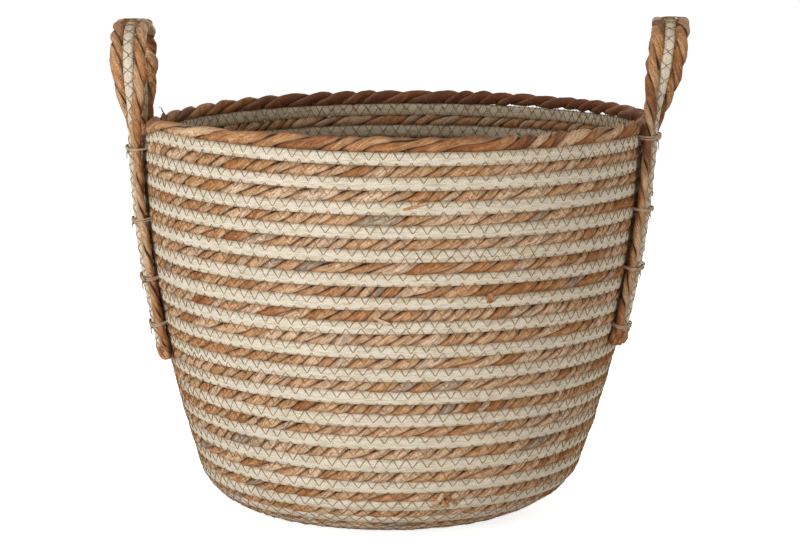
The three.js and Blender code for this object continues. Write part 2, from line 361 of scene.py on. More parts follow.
class Rope:
    """A two-ply rope: its twist and the shape of its surface along its length"""

    def __init__(self, seed, twist_pitch, uneven, leafy, hand=1, loose_end=0, rim_slack=0):
        self.seed = seed
        self.leafy = leafy
        length = spaced(longest_rope, mm)
        self.twist_length = length
        unevenness = self.wave(length, 45, 0) + 0.7 * self.wave(length, 17, 50)
        pace = 2 * pi / twist_pitch * np.exp(uneven * unevenness)
        pace = pace * (1 - loose_end * (1 - smoothstep((length - 60 * mm) / (120 * mm))))
        pace = pace * (1 - rim_slack * smoothstep((rim_turn_length - length) / (100 * mm)))
        self.twist_angle = hand * running_sum((pace[1:] + pace[:-1]) / 2 * np.diff(length))

    def wave(self, place, wavelength, number):
        """One of the rope's own smooth noises, by its wavelength in millimetres"""
        return wander(place, wavelength * mm, self.seed + number)

    def twist(self, length):
        return np.interp(length, self.twist_length, self.twist_angle)

    def angle(self, length, delta):
        """Angle round the rope of a place on a ply. The plies are unevenly wide, and their creases
        run along the rope's edges and cross its faces quickly, so that each lobe is a leaf."""
        uneven = 0.62 * self.wave(length, 30, 60) * (1 - np.cos(delta))
        place = self.twist(length) + delta + uneven
        return place + self.leafy * np.sin(2 * place)

    def own_place(self, theta, length):
        """Angle round the rope and the ply's own angle of a place, both less whole turns of the ply"""
        delta = theta - self.twist(length)
        for _ in range(12):
            delta = delta - 0.6 * (self.angle(length, delta) - theta)
        within = np.mod(delta, 2 * pi)
        return theta - (delta - within), within

    def lobes(self, theta, delta, length, crease, power, held, lobe_turn=pi):
        """Factor of the section's radius, tone, groove, depth of the crease and lap at an angle round
        the rope. A lobe is one ply's stretch on one face of the rope, and held says how flat it is
        pressed. Its lap is 1 at the edge that lies over the next lobe and -1 at the tucked one."""
        rounded = np.abs(np.sin(delta))
        lap = np.cos(np.mod(delta, pi))
        ply = np.floor(delta / pi).astype(int) % 2
        visit = np.floor((theta + pi / 2) / lobe_turn).astype(int)

        def chance(number):
            return of_lobe(ply, visit, self.seed + number)

        deep = 0.5 + 0.5 * self.wave(length + 9 * mm * ply, 7, 6)
        depth = (1 - crease + 0.1 * chance(5)) * (1 - held) * (0.8 + 0.4 * deep)
        factor = 1 - depth * (1 - rounded ** (power * np.where(lap > 0, 0.7, 1.35)))
        folds = 0
        for index in range(3):
            place = pi / 2 + 0.9 * chance(10 + index) + 0.35 * self.wave(length, 11, 20 + index)
            size = np.clip(chance(30 + index) + 0.4, 0, 1)
            folds = folds + size * leaf_edge(np.mod(delta, pi) - place)
        ripple = 0.04 * self.wave(length + 3 * mm * delta, 5, 2)
        ripple = ripple + 0.025 * self.wave(length - 2 * mm * delta, 2.6, 3)
        relief = 0.08 * chance(1) + ripple + 0.075 * folds
        tone = 0.7 * chance(4) + 0.65 * self.wave(length + 3 * ply, 90, 7)
        tone = np.where(chance(8) > grey_chance, grey_tone, tone)
        # groove and deep only set the painted shade in the creases and the painted shadow and highlight
        # beside them; deep is weighted to the rope's edges
        groove = (1 - rounded) ** 2
        deep = deep * (0.25 + 0.75 * np.sin(theta) ** 2)
        return factor * (1 + relief * rounded), tone, groove, deep, lap


def section_radius(theta, half_out, half_across, power):
    """Radius of a rounded oblong, by the angle from outwards to across"""
    return ((np.abs(np.cos(theta)) / half_out) ** power
            + (np.abs(np.sin(theta)) / half_across) ** power) ** (-1 / power)


def end_round(length, total, reach):
    """Shrinks a strand to round ends"""
    from_end = np.clip(np.minimum(length, total - length) / reach, 0, 1)
    return np.sqrt(1 - (1 - from_end) ** 2)


# Meshes
def add_mesh(name, points, faces, attributes, material):
    mesh = bpy.data.meshes.new(name)
    flat = np.asarray(faces, np.int32)
    sides = flat.shape[1]
    mesh.vertices.add(len(points))
    mesh.vertices.foreach_set("co", np.asarray(points, np.float32).ravel())
    mesh.loops.add(flat.size)
    mesh.loops.foreach_set("vertex_index", flat.ravel())
    mesh.polygons.add(len(flat))
    mesh.polygons.foreach_set("loop_start", np.arange(0, flat.size, sides, dtype=np.int32))
    mesh.polygons.foreach_set("loop_total", np.full(len(flat), sides, np.int32))
    mesh.update(calc_edges=True)
    mesh.polygons.foreach_set("use_smooth", np.full(len(flat), True))
    for key, values in attributes.items():
        values = np.asarray(values, np.float32)
        vector = values.ndim > 1
        attribute = mesh.attributes.new(key, "FLOAT_VECTOR" if vector else "FLOAT", "POINT")
        attribute.data.foreach_set("vector" if vector else "value", values.ravel())
    mesh.materials.append(material)
    piece = bpy.data.objects.new(name, mesh)
    bpy.context.scene.collection.objects.link(piece)
    return piece


def tube_faces(rings, sides, capped=True):
    """Four-sided faces of a tube of rings, and fans of them that close its ends"""
    here = np.arange(rings - 1)[:, None] * sides + np.arange(sides)
    other = np.roll(here, -1, axis=1)
    faces = together(here, other, other + sides, here + sides).reshape(-1, 4)
    if not capped:
        return faces
    cap = np.array([[0, (corner + 1) % sides, corner, corner - 1] for corner in range(2, sides, 2)])
    return np.concatenate([faces, cap, cap[:, ::-1] + (rings - 1) * sides])


def finish_piece(piece, node=None):
    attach(piece, "root")
    if node:
        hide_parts(node)


def add_strand(name, points, attributes, material, node=None, flip=False):
    """Tube pieces from rings of points; a long strand is cut into several pieces"""
    rings, sides = points.shape[:2]
    pieces = max(1, math.ceil(rings * sides / most_points))
    cuts = np.linspace(0, rings - 1, pieces + 1).astype(int)
    for index, (first, last) in enumerate(zip(cuts[:-1], cuts[1:])):
        part = slice(first, last + 1)
        faces = tube_faces(last + 1 - first, sides)
        faces = faces[:, ::-1] if flip else faces
        values = {key: value[part].reshape(-1, *value.shape[2:]) for key, value in attributes.items()}
        label = f"{name}_{index + 1}" if pieces > 1 else name
        finish_piece(add_mesh(label, points[part].reshape(-1, 3), faces, values, material), node)


# Materials
white = (1, 1, 1, 1)


class Nodes:
    """Short calls for building a node tree"""

    def __init__(self, tree):
        self.tree = tree

    def add(self, kind, inputs=(), **settings):
        made = self.tree.nodes.new(kind)
        for key, value in settings.items():
            setattr(made, key, value)
        for key, value in dict(inputs).items():
            self.put(made.inputs[key], value)
        return made

    def put(self, socket, value):
        if isinstance(value, bpy.types.NodeSocket):
            self.tree.links.new(value, socket)
        else:
            socket.default_value = value

    def attribute(self, name, output="Fac"):
        return self.add("ShaderNodeAttribute", attribute_name=name).outputs[output]

    def maths(self, operation, first, second=0.0, third=0.0):
        return self.add("ShaderNodeMath", {0: first, 1: second, 2: third}, operation=operation).outputs[0]

    def times(self, first, second):
        return self.maths("MULTIPLY", first, second)

    def clamp(self, value):
        return self.add("ShaderNodeClamp", {"Value": value}).outputs[0]

    def noise(self, vector, scale, detail=3.0, rough=0.5):
        scaled = self.add("ShaderNodeVectorMath", {0: vector, 1: scale}, operation="MULTIPLY").outputs[0]
        return self.add("ShaderNodeTexNoise", {"Vector": scaled, "Scale": 1.0, "Detail": detail,
                                               "Roughness": rough}).outputs["Fac"]

    def waves(self, vector, degrees, scale, **more):
        angles = (0, 0, math.radians(degrees))
        turned = self.add("ShaderNodeMapping", {"Vector": vector, "Rotation": angles}).outputs[0]
        return self.add("ShaderNodeTexWave", {"Vector": turned, "Scale": scale, **more}).outputs["Fac"]

    def mix(self, share, first, second, blend="MIX"):
        made = self.add("ShaderNodeMix", data_type="RGBA", blend_type=blend)
        self.put(made.inputs[0], share)
        self.put(made.inputs[6], first)
        self.put(made.inputs[7], second)
        return made.outputs[2]

    def ramp(self, value, stops):
        made = self.add("ShaderNodeValToRGB", {"Fac": value})
        elements = made.color_ramp.elements
        while len(elements) < len(stops):
            elements.new(0.5)
        for element, (place, colour) in zip(elements, stops):
            element.position = place
            element.color = colour
        return made.outputs["Color"]

    def stain(self, share, colour, value, dark_at, dark, clear_at):
        """Darkens a colour where a value is low"""
        return self.mix(share, colour, self.ramp(value, [(dark_at, dark), (clear_at, white)]), "MULTIPLY")

    def bump(self, height, distance, strength, **before):
        inputs = {"Height": height, "Distance": distance, "Strength": strength, **before}
        return self.add("ShaderNodeBump", inputs).outputs["Normal"]


class Skin(Nodes):
    """The nodes of a new material"""

    def __init__(self, name):
        self.material = bpy.data.materials.new(name)
        self.material.use_nodes = True
        super().__init__(self.material.node_tree)
        self.shader = self.tree.nodes["Principled BSDF"]

    def surface(self, specular, **inputs):
        for key, value in {**inputs, "Specular IOR Level": specular}.items():
            self.put(self.shader.inputs[key.replace("_", " ")], value)


def shade(red, green, blue):
    """A colour written as it shows on a screen, from 0 to 255"""
    def linear(value):
        value = value / 255
        return value / 12.92 if value <= 0.04045 else ((value + 0.055) / 1.055) ** 2.4
    return (linear(red), linear(green), linear(blue), 1.0)


husk_tones = [
    (0.0, shade(112, 66, 34)),
    (0.14, shade(164, 108, 60)),
    (0.3, shade(194, 143, 94)),
    (0.46, shade(212, 173, 131)),
    (0.62, shade(226, 195, 160)),
    (0.76, shade(230, 206, 178)),
    (0.88, shade(186, 172, 152)),
    (1.0, shade(146, 140, 126)),
]


def husk_material():
    """Papery twisted husk: one tone for each lobe, fibres along the plies, painted shade in the creases,
    a browner painted shadow where a lobe is tucked under the next, a painted highlight on the edge
    that lies over it, and painted shade on the strands' inner faces and the crest of the arch"""
    nodes = Skin("husk")
    strand = nodes.attribute("strand", "Vector")
    tone, groove, deep, lap, painted_shade = map(nodes.attribute, ("tone", "groove", "deep", "lap", "painted_shade"))
    fibre = nodes.noise(strand, (0.8, 0.1, 1.0), 4.0, 0.7)
    fine = nodes.noise(strand, (2.2, 0.35, 1.0), 3.0, 0.6)
    net = nodes.noise(strand, (1.1, 0.7, 1.0), 3.0, 0.75)
    blotch = nodes.noise(strand, (0.25, 0.1, 1.0), 2.0)
    split = nodes.noise(strand, (0.42, 0.05, 1.0), 2.0)
    value = nodes.maths("MULTIPLY_ADD", tone, 0.29, 0.49)
    value = nodes.maths("MULTIPLY_ADD", nodes.maths("SUBTRACT", fibre, 0.5), 0.9, value)
    value = nodes.maths("MULTIPLY_ADD", nodes.maths("SUBTRACT", blotch, 0.5), 0.5, value)
    colour = nodes.ramp(value, husk_tones)
    colour = nodes.stain(0.6, colour, fine, 0.32, shade(176, 132, 92), 0.52)
    colour = nodes.stain(0.62, colour, net, 0.34, shade(170, 128, 92), 0.54)
    flecks = nodes.ramp(net, [(0.3, (0.36, 0.36, 0.36, 1)), (0.72, (0.72, 0.72, 0.72, 1))])
    colour = nodes.mix(0.6, colour, flecks, "SOFT_LIGHT")
    # Beside each crease: a browner painted shadow on the tucked lobe, and a painted highlight on the edge
    # that lies over it
    edge = nodes.maths("POWER", groove, 0.7)
    tucked = nodes.clamp(nodes.maths("MULTIPLY_ADD", lap, -1.4, 0.3))
    colour = nodes.mix(nodes.times(nodes.times(edge, tucked), 0.95), colour, shade(154, 91, 40))
    upper = nodes.clamp(lap)
    colour = nodes.mix(nodes.times(nodes.times(edge, upper), 0.4), colour, shade(232, 200, 158))
    beside = nodes.maths("ABSOLUTE", nodes.maths("SUBTRACT", split, 0.5))
    crack = nodes.clamp(nodes.maths("SUBTRACT", 1.0, nodes.times(beside, 20.0)))
    colour = nodes.mix(nodes.times(crack, 0.6), colour, shade(122, 72, 34))
    # Painted shade in the creases, darkest where deep is high, at the rope's edges
    dark = nodes.times(nodes.maths("POWER", groove, 2.2), nodes.maths("MULTIPLY_ADD", deep, 2.8, 0.25))
    dark = nodes.clamp(nodes.times(dark, nodes.maths("MULTIPLY_ADD", net, 1.2, 0.4)))
    colour = nodes.mix(dark, colour, shade(50, 21, 4))
    # Painted shade: darker and browner on the strands' inner faces and on the crest of the arch
    colour = nodes.mix(painted_shade, colour, (0.92, 0.84, 0.74, 1), "MULTIPLY")
    height = nodes.maths("SUBTRACT", fibre, nodes.times(crack, 0.35))
    normal = nodes.bump(height, 0.8 * mm, 0.9)
    normal = nodes.bump(nodes.maths("ADD", fine, net), 0.25 * mm, 0.9, Normal=normal)
    roughness = nodes.maths("MULTIPLY_ADD", fibre, 0.25, 0.42)
    nodes.surface(0.3, Base_Color=colour, Roughness=roughness, Normal=normal)
    return nodes.material


def tape_material():
    """Cream cotton tape with fine slanting ribs"""
    nodes = Skin("cream_cotton")
    strand = nodes.attribute("strand", "Vector")
    ribs = nodes.waves(strand, 65, 0.2, **{"Distortion": 4.0, "Detail": 2.0, "Detail Scale": 1.4})
    yarn = nodes.noise(strand, (1.4, 0.8, 1.0), 3.0, 0.65)
    streak = nodes.noise(strand, (0.8, 0.09, 1.0), 3.0, 0.6)
    cloud = nodes.noise(strand, (0.12, 0.03, 1.0), 2.0)
    colour = nodes.mix(cloud, shade(220, 211, 194), shade(232, 225, 210))
    colour = nodes.stain(0.55, colour, yarn, 0.3, shade(196, 184, 164), 0.58)
    colour = nodes.stain(0.6, colour, streak, 0.34, shade(206, 194, 174), 0.54)
    colour = nodes.stain(0.4, colour, ribs, 0.0, shade(222, 212, 196), 0.5)
    # Painted shade on the tape's inner face and on the crest of the arch
    colour = nodes.mix(nodes.attribute("painted_shade"), colour, (0.96, 0.92, 0.83, 1), "MULTIPLY")
    height = nodes.maths("ADD", nodes.times(ribs, 0.5), nodes.maths("ADD", yarn, streak))
    nodes.surface(0.15, Base_Color=colour, Roughness=0.85, Normal=nodes.bump(height, 0.35 * mm, 0.9))
    return nodes.material


def thread_material(name, first, second, pressed):
    """Thin twisted thread or twine, dyed by the husk where it is pressed into it"""
    nodes = Skin(name)
    strand = nodes.attribute("strand", "Vector")
    colour = nodes.mix(nodes.noise(strand, (0.5, 0.25, 1.0), 2.0), first, second)
    colour = nodes.mix(nodes.attribute("pressed"), colour, pressed)
    twist = nodes.waves(strand, 40, 0.35)
    colour = nodes.mix(nodes.times(twist, 0.3), colour, white, "SOFT_LIGHT")
    nodes.surface(0.25, Base_Color=colour, Roughness=0.7, Normal=nodes.bump(twist, 0.2 * mm, 0.7))
    return nodes.material


husk = husk_material()
cream = tape_material()
thread = thread_material("olive_thread", shade(122, 82, 28), shade(152, 110, 46), shade(142, 94, 44))
tie_twine = thread_material("grey_twine", shade(156, 130, 106), shade(196, 172, 146), shade(156, 130, 106))


# Wall strands
def rope_sizes(turns, along):
    """Half sizes of the wall's rope, the shift of its middle and the power of its section"""
    rim = on_rim(turns)
    past_end = (rows.length_at(turns) - rim_swell_start) / (rim_swell_full - rim_swell_start)
    swell = rim_swell / 2 * rim * smoothstep(past_end)
    half_across = rope_width / 2 + (0.35 - 0.1 * loose_joint(turns)) * mm - tape_gain(turns, along) + swell
    half_out = 3.85 * mm + 0.5 * mm * off_base(along) + 0.45 * mm * rim
    return half_out, half_across, swell, 2.7 - 0.6 * rim


def tape_sizes(turns, along):
    """Half sizes of the wall's tape and the power of its section"""
    half_across = tape_width / 2 + (0.6 - 0.35 * loose_joint(turns)) * mm + tape_gain(turns, along)
    return tape_thickness / 2 + 0.6 * mm * off_base(along), half_across, 4


wall_rope = Rope(seed=11, twist_pitch=32 * mm, uneven=0.42, leafy=0.02, loose_end=0.6, rim_slack=0.36)
folded_end = 13 * mm


def wall_rope_lobes(turns, theta, delta):
    """Shape and shades of the wall's rope. The rim rope is rounder, nothing presses on its top,
    and its end is folded under a smooth leaf."""
    length = rows.length_at(turns)
    rim = on_rim(turns)
    crease = 0.62 - 0.06 * rim + 0.3 * (1 - smoothstep((length - folded_end) / folded_end))
    below = np.clip(-np.sin(theta), 0, 1) ** 6
    above = np.clip(np.sin(theta), 0, 1) ** 6
    held = (0.45 + 0.4 * rim) * below * (1 - 0.8 * loose_joint(turns)) + 0.45 * (1 - rim) * above
    lobe_turn = np.where(turns < 1, 2 * pi, pi)
    return wall_rope.lobes(theta, delta, length, crease, 0.62 + 0.2 * rim, held, lobe_turn)


def rope_grid(rope, length):
    """Lengths, angles round the rope and the plies' own angles of all points of a rope"""
    length, delta = np.broadcast_arrays(length[:, None], rope_columns + 1e-6)
    return length, rope.angle(length, delta), delta


def painted_shade_inside(theta):
    """Share of painted shade: 0 on the outside and the top of a strand, 1 on its inside"""
    return smoothstep((0.1 - np.cos(theta)) / 0.8)


def husk_values(shades, painted_shade, delta, length):
    """The values at each point that the husk's material uses"""
    tone, groove, deep, lap = shades
    return {"tone": tone, "groove": groove, "deep": deep, "lap": lap, "painted_shade": painted_shade,
            "strand": together(delta * 4.5, length / mm, rope_ply * 40.0)}


def tape_values(radius, theta, length, painted_shade):
    """The values at each point that the tape's material uses"""
    return {"strand": together(radius * np.sin(theta) / mm, length / mm, radius * np.cos(theta) / mm),
            "painted_shade": painted_shade}


def build_wall_rope():
    total = rows.length[-1]
    length, theta, delta = rope_grid(wall_rope, spaced(total, rope_step))
    turns = rows.turns_at(length)
    half_out, half_across, shift, power = rope_sizes(turns, rope_along(turns))
    factor, tone, *shades = wall_rope_lobes(turns, theta, delta)
    radius = section_radius(theta, half_out, half_across, power) * factor
    ends = end_round(length, total, 5 * mm)
    along = rope_along(turns) + (radius * np.sin(theta) + shift) * ends
    points = wall_place(along, radius * np.cos(theta) * ends, row_azimuth(turns))
    # Painted shade: the rim rope's tone is lowered away from its outer face, beyond its browner tone
    inwards = smoothstep((0.8 - np.cos(theta)) / 1.2)
    first_turn = turns < 1
    tone = tone * (1 + 0.25 * first_turn) - first_turn * (rim_browner + rim_inside_shade * inwards)
    values = husk_values([tone, *shades], painted_shade_inside(theta), delta, length)
    add_strand("wall_rope", points, values, husk, "natural_rope")


tape_columns = pi / 2 + np.linspace(0, 2 * pi, 17)[:-1]


def build_wall_tape():
    total = rows.length_at(spiral_turns - 0.5 + inner_curl)
    length, theta = np.broadcast_arrays(spaced(total, tape_step)[:, None], tape_columns)
    turns = rows.turns_at(length)
    along = tape_along(turns)
    half_out, half_across, power = tape_sizes(turns, along)
    puff = 1 + 0.02 * wander(length, 14 * mm, 31)
    radius = section_radius(theta, half_out * puff, half_across, power)
    ends = end_round(length, total, 3 * mm)
    points = wall_place(along + radius * np.sin(theta) * ends, radius * np.cos(theta) * ends,
                        row_azimuth(turns))
    values = tape_values(radius, theta, length, painted_shade_inside(theta))
    add_strand("wall_tape", points, values, cream, "cream_tape")


# Zigzag thread: each half stitch is a taut arc over the strands whose ends dive in
stitch_wave = 10.6 * mm
thread_radius = 0.28 * mm
sample_shares = np.array([0, 0.05, 0.2, 0.4, 0.6, 0.8, 0.95, 1])


def oblong_height(across, half_out, half_across, power):
    share = np.clip(np.abs(across) / half_across, 0, 1)
    return half_out * (1 - share ** power) ** (1 / power)


def rope_height(turns, along, inside):
    """Height of the wall rope's surface over the wall line, outside or inside"""
    middle = rope_along(turns)
    half_out, half_across, shift, power = rope_sizes(turns, middle)
    across = along - middle - shift
    height = oblong_height(across, half_out, half_across, power)
    theta = np.arctan2(across, height)
    theta = pi - theta if inside else theta
    factor, *_ = wall_rope_lobes(turns, *wall_rope.own_place(theta, rows.length_at(turns)))
    return height * factor


def tape_height(turns, along):
    middle = tape_along(turns)
    return oblong_height(along - middle, *tape_sizes(turns, middle))


def tighten(height):
    """Lifts the inner samples of each row to a taut arc over them"""
    height = height.copy()
    for _ in range(12):
        height[:, 1:-1] = np.maximum(height[:, 1:-1], (height[:, :-2] + height[:, 2:]) / 2)
    return height


def between(tips):
    """Samples of each half stitch from the values at its two tips"""
    return tips[:-1, None] + np.diff(tips)[:, None] * sample_shares


def pressed_in(away):
    """1 where the thread has sunk into the rope, by how far it is past the joint"""
    return smoothstep((away - 0.2 * mm) / (1.4 * mm))


def wall_stitch_points(upper, inside):
    """Samples of all half stitches on the joint above the tape, or below it"""
    seed = 40 + 2 * upper + inside
    tips = np.arange(4 * mm, rows.length_at(spiral_turns - 1.6), stitch_wave / 2)
    count = len(tips)
    tips = tips + 0.5 * mm * scatter(seed, count)
    tips = tips + 3 * mm * wander(tips, 60 * mm, seed + 10)
    turns = rows.turns_at(tips)
    half_tape = tape_width / 2 + strand_gap / 2 + tape_gain(turns, tape_along(turns))
    joint = tape_along(turns) + (half_tape if upper else -half_tape)
    reach_tape = 5.6 * mm if inside else 4.5 * mm if upper else 2.9 * mm
    reach_rope = 3.4 * mm if upper or inside else 4.2 * mm
    away = np.where(np.arange(count) % 2 == 0, -reach_tape, reach_rope)
    stray = wander(tips, 130 * mm, seed + 20)
    away = away - 0.8 * mm * stray - 2.2 * mm * np.clip(stray - 0.35, 0, 1)
    away = away + 0.5 * mm * scatter(seed + 30, count)
    turns, joint, away = between(turns), between(joint), between(away)
    along = joint + (away if upper else -away)
    height = rope_height(turns if upper else turns + 1, along, inside)
    height = sewn_height(np.maximum(height, tape_height(turns, along)), pressed_in(away))
    face = -1 if inside else 1
    lines = wall_place(along, face * height, row_azimuth(turns))
    above = wall_place(along, face * (height + mm), row_azimuth(turns))
    return lines, above - lines, pressed_in(away)


def sewn_height(height, pressed):
    """Height of a half stitch over the surface: taut, its ends sunk, and pressed into the rope"""
    sewn = tighten(height) + 0.12 * mm - 0.14 * mm * pressed
    sewn[:, [0, -1]] = height[:, [0, -1]] - 0.5 * mm
    return sewn


def stitch_mesh(name, lines, outwards, pressed, corners=3):
    """Thin tubes along rows of samples, all in one mesh"""
    count, steps = lines.shape[:2]
    forward = unit(np.gradient(lines, axis=1))
    side = unit(np.cross(forward, outwards))
    lift = np.cross(side, forward)
    angle = ring_angles(corners)
    ring = (lines[:, :, None, :]
            + thread_radius * np.cos(angle)[:, None] * lift[:, :, None, :]
            + thread_radius * np.sin(angle)[:, None] * side[:, :, None, :])
    tube = tube_faces(steps, corners, capped=False)
    faces = np.arange(count)[:, None, None] * steps * corners + tube
    travelled = np.linalg.norm(np.diff(lines, axis=1, prepend=lines[:, :1]), axis=-1).cumsum(axis=1)
    along = travelled + 9.1 * mm * np.arange(count)[:, None]
    strand = together(angle * 0.4, along[:, :, None] / mm, 0.0)
    values = {"strand": strand.reshape(-1, 3), "pressed": np.repeat(pressed.ravel(), corners)}
    finish_piece(add_mesh(name, ring.reshape(-1, 3), faces.reshape(-1, 4), values, thread))


def build_wall_stitches():
    for inside in (False, True):
        for upper in (True, False):
            name = f"stitches_{'inside' if inside else 'outside'}_{'above' if upper else 'below'}_tape"
            stitch_mesh(name, *wall_stitch_points(upper, inside))


# Straps
class StrapLine:
    """Middle line of a strap, in a frame whose +X points out through the handle, and the
    directions across the strap and out of it"""

    def __init__(self, handle):
        self.handle = handle
        self.flip = handle["side"] > 0
        self.leg_end = rim_height - handle["leg_drop"]
        half = 2000
        self.grid_points = self.points(np.linspace(0, 1, 2 * half + 1))
        self.grid = running_sum(np.linalg.norm(np.diff(self.grid_points, axis=0), axis=1))
        self.length = self.grid[-1]
        self.tie_places = []
        for share in handle["tie_shares"]:
            height = rim_height - share * handle["leg_drop"]
            tied = np.interp(height, self.grid_points[:half + 1, 2], self.grid[:half + 1])
            self.tie_places += [tied, self.length - tied]

    def points(self, share):
        from_crest = np.abs(share - 0.5) * 2
        way = np.where(share < 0.5, -1, 1)
        spring = rim_height + arch_spring
        down = (from_crest - (1 - leg_share)) / leg_share
        turn = pi / 2 * np.clip(from_crest / (1 - leg_share), 0, 1)
        power = 2 / arch_squareness
        arch = spring + (self.handle["arch_height"] - arch_spring) * np.cos(turn).clip(0) ** power
        height = np.where(down > 0, spring + (self.leg_end - spring) * down, arch)
        spread = np.where(down > 0, 1, np.sin(turn) ** power)
        reach = self.reach(np.minimum(height, rim_height))
        ease = smoothstep((height - rim_height + lean_start) / (self.handle["arch_height"] + lean_start))
        near = reach * math.cos(leg_azimuth)
        x = near + (rim_radius + self.handle["lean"] - near) * ease
        y = way * spread * reach * math.sin(leg_azimuth)
        return together(x, y, height)

    def reach(self, height):
        radius = np.interp(height, line_height[base_start:], line_radius[base_start:])
        up_the_leg = (height - self.leg_end) / self.handle["leg_drop"]
        lift = leg_lift_at_end + (leg_lift_at_rim - leg_lift_at_end) * up_the_leg
        return radius + rope_thickness / 2 + strap_rope_thickness / 2 + lift

    def frames(self, length):
        """Middle of the strap, and the directions across it and out of it"""
        def at(place):
            return together(*(np.interp(place, self.grid, values) for values in self.grid_points.T))
        reach = 1.5 * mm
        forward = unit(at(np.minimum(length + reach, self.length)) - at(np.maximum(length - reach, 0)))
        turned = smoothstep((self.from_crest(length) - twist_start) / (twist_end - twist_start))
        turned = turned * np.sign(length - self.length / 2) * (pi / 2 - leg_azimuth)
        across = together(np.cos(turned), -np.sin(turned), 0)
        across = unit(across - forward * np.sum(across * forward, -1, keepdims=True))
        return at(length), across, np.cross(across, forward)

    def place(self, length, across_by, out_by):
        """Points on the basket, at lengths along the strap, distances across it and out of it"""
        middle, across, out = self.frames(length)
        across_by = across_by * self.narrowing(length)
        points = middle + across * across_by[..., None] + out * out_by[..., None]
        return askew(turned_about(points, self.handle))

    def narrowing(self, length):
        """How the ties pinch the strap, and how its cut ends spread"""
        narrow = 1 - 0.06 * self.on_leg(length)
        narrow = narrow + 0.14 * smoothstep(1 - np.minimum(length, self.length - length) / (12 * mm))
        for tied in self.tie_places:
            narrow = narrow - 0.13 * bell(length - tied, 5 * mm)
        return narrow

    def from_crest(self, length):
        return np.abs(length - self.length / 2)

    def on_crest(self, length):
        """1 on top of the arch, 0 beside it"""
        return 1 - smoothstep((self.from_crest(length) - 12 * mm) / (24 * mm))

    def on_bend(self, length):
        """1 where the strap bends down from the top of the arch"""
        return bell(self.from_crest(length) - 30 * mm, 14 * mm)

    def on_leg(self, length):
        """0 over the arch, 1 on the legs"""
        return smoothstep((self.from_crest(length) - 95 * mm) / (30 * mm))

    def painted_shade(self, length, theta):
        """Share of painted shade: 1 on the crest of the arch, 0.8 on the strap's inner face, 0 on its outer
        face
        """
        return np.maximum(self.on_crest(length), 0.8 * painted_shade_inside(theta))


def turned_about(points, handle):
    """From a handle's own frame to the upright basket"""
    turn = -handle["turn"]
    x = points[..., 0] * math.cos(turn) - points[..., 1] * math.sin(turn)
    y = points[..., 0] * math.sin(turn) + points[..., 1] * math.cos(turn)
    return together(handle["side"] * x, y, points[..., 2])


strap_rope_power = 2.2


class StrapRope:
    """One rope of a strap. The outer one is pressed flatter on the legs, behind the tape's face."""

    def __init__(self, line, way, seed):
        self.line = line
        self.offset = way * strap_rope_offset
        self.flatter = 2.3 * mm if way > 0 else 1.2 * mm
        self.rope = Rope(seed=seed, twist_pitch=47 * mm, uneven=0.3, leafy=0, hand=-line.handle["side"])

    def sizes(self, length):
        """Half size outwards, half size across and how far the rope lies towards the wall"""
        flat = self.flatter * self.line.on_leg(length)
        crumpled = 0.5 * mm * self.line.on_bend(length) * wander(length, 7 * mm, self.rope.seed + 90)
        half_out = strap_rope_thickness / 2 + 0.25 * mm - flat + crumpled
        return half_out, strap_rope_width / 2 + 0.8 * mm + crumpled, flat / 2

    def lobes(self, length, theta, delta):
        """Shape and shades of the rope, only lightly pressed"""
        return self.rope.lobes(theta, delta, length, 0.52, 0.7, 0.1 * np.sin(theta) ** 6)

    def build(self, name):
        length, theta, delta = rope_grid(self.rope, spaced(self.line.length, strap_step))
        half_out, half_across, sunk = self.sizes(length)
        factor, tone, *shades = self.lobes(length, theta, delta)
        radius = section_radius(theta, half_out, half_across, strap_rope_power) * factor
        ends = end_round(length, self.line.length, 4 * mm)
        points = self.line.place(length, self.offset + radius * np.sin(theta) * ends,
                                 radius * np.cos(theta) * ends - sunk)
        values = husk_values([tone - strap_browner, *shades], self.line.painted_shade(length, theta), delta, length)
        add_strand(f"{name}_strand", points, values, husk, name, self.line.flip)

    def height(self, length, across, face):
        """Height of the surface over the strap's middle on its outer (1) or inner (-1) face"""
        half_out, half_across, sunk = self.sizes(length)
        height = oblong_height(across - self.offset, half_out, half_across, strap_rope_power)
        theta = np.arctan2(across - self.offset, face * height)
        factor, *_ = self.lobes(length, *self.rope.own_place(theta, length))
        return height * factor - face * sunk


def strap_tape_sizes(line, length):
    """Half sizes of a strap's tape with the power of its section, and how far it stands out"""
    half_out = strap_tape_thickness / 2 + (0.3 + 1.3 * line.on_crest(length)) * mm
    return (half_out, strap_tape_width / 2 + 0.1 * mm, strap_tape_power), 1.3 * mm * line.on_leg(length)


def build_strap_tape(line, name):
    length, theta = np.broadcast_arrays(spaced(line.length, strap_step)[:, None], tape_columns)
    sizes, raised = strap_tape_sizes(line, length)
    radius = section_radius(theta, *sizes)
    ends = end_round(length, line.length, 1.5 * mm)
    points = line.place(length, radius * np.sin(theta) * ends, radius * np.cos(theta) * ends + raised)
    values = tape_values(radius, theta, length, line.painted_shade(length, theta))
    add_strand(f"{name}_strand", points, values, cream, name, line.flip)


def strap_stitch_points(line, rope, way, face):
    """Samples of the half stitches on one joint of a strap, on one face"""
    seed = 500 + 2 * way + face
    tips = np.arange(5 * mm, line.length - 5 * mm, stitch_wave / 2)
    count = len(tips)
    tips = tips + 0.8 * mm * scatter(seed, count)
    away = np.where(np.arange(count) % 2 == 0, -4.2 * mm, 3.6 * mm)
    away = away + 0.8 * mm * scatter(seed + 30, count)
    away = away - 1.6 * mm * np.clip(wander(tips, 60 * mm, seed + 20), 0, 1)
    length, away = between(tips), between(away)
    across = way * (strap_tape_width / 2 + strap_gap / 2 + away)
    sizes, raised = strap_tape_sizes(line, length)
    height = np.maximum(rope.height(length, across, face), oblong_height(across, *sizes) + face * raised)
    height = face * sewn_height(height, pressed_in(away))
    lines = line.place(length, across, height)
    return lines, line.place(length, across, height + face * mm) - lines, pressed_in(away)


wrap_leaves = 12
wrap_length = 12 * mm
wrap_radius = 2 * mm


